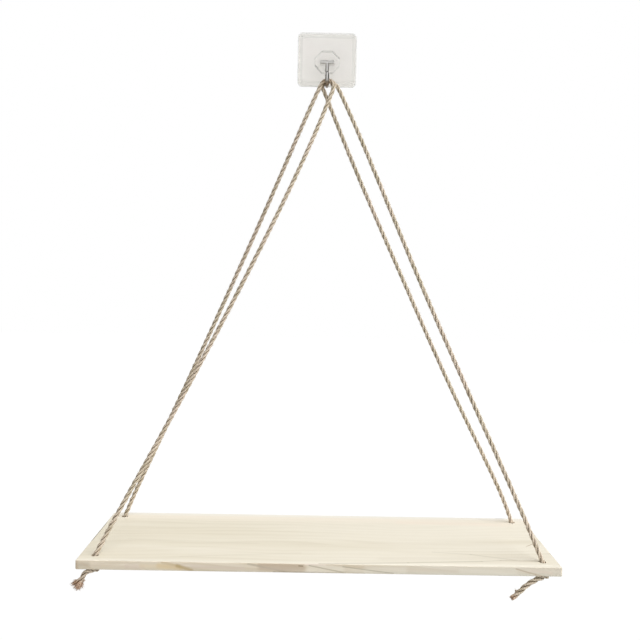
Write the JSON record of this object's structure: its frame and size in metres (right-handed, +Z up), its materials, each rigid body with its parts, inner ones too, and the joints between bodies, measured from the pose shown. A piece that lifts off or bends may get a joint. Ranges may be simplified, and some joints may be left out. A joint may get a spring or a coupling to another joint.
{
  "type": "hanging rope shelf",
  "caption": "Thin wooden board held level by two rope loops through its corners, which hang together from one wire hook on an adhesive wall plate.",
  "frame": {"origin": "middle of the back face of the hook's adhesive sheet, on the wall", "axes": "+Y into the wall, +Z up, +X to the right as seen from the room"},
  "size_m": [0.453, 0.1505, 0.5596],
  "materials": {
    "pine": "planed, untreated",
    "jute": "laid three-strand rope with loose fibres",
    "clear_plastic": "clear gloss",
    "adhesive": "clear sheet",
    "steel": "bright"
  },
  "bodies": {
    "wall_mount": {"adhesive_film": "adhesive", "wall_plate": "clear_plastic", "bar_keeper": "clear_plastic"},
    "hook": {"wire_hook": "steel"},
    "shelf": {"board": "pine", "rope_left": "jute", "rope_right": "jute", "knot_left_front": "jute", "knot_left_back": "jute", "knot_right_front": "jute", "knot_right_back": "jute", "tail_left_front": "jute", "tail_left_back": "jute", "tail_right_front": "jute", "tail_right_back": "jute"}
  },
  "joints": [
    {"name": "hook_tilt", "type": "hinge", "parent": "wall_mount", "child": "hook", "pos_m": [0, -0.0084, -0.0042], "axis": [-1, 0, 0], "range_deg": [0, 40]},
    {"name": "shelf_swing", "type": "hinge", "parent": "hook", "child": "shelf", "pos_m": [0, -0.017, -0.0302], "axis": [0, 1, 0], "range_deg": [-20, 20]}
  ]
}
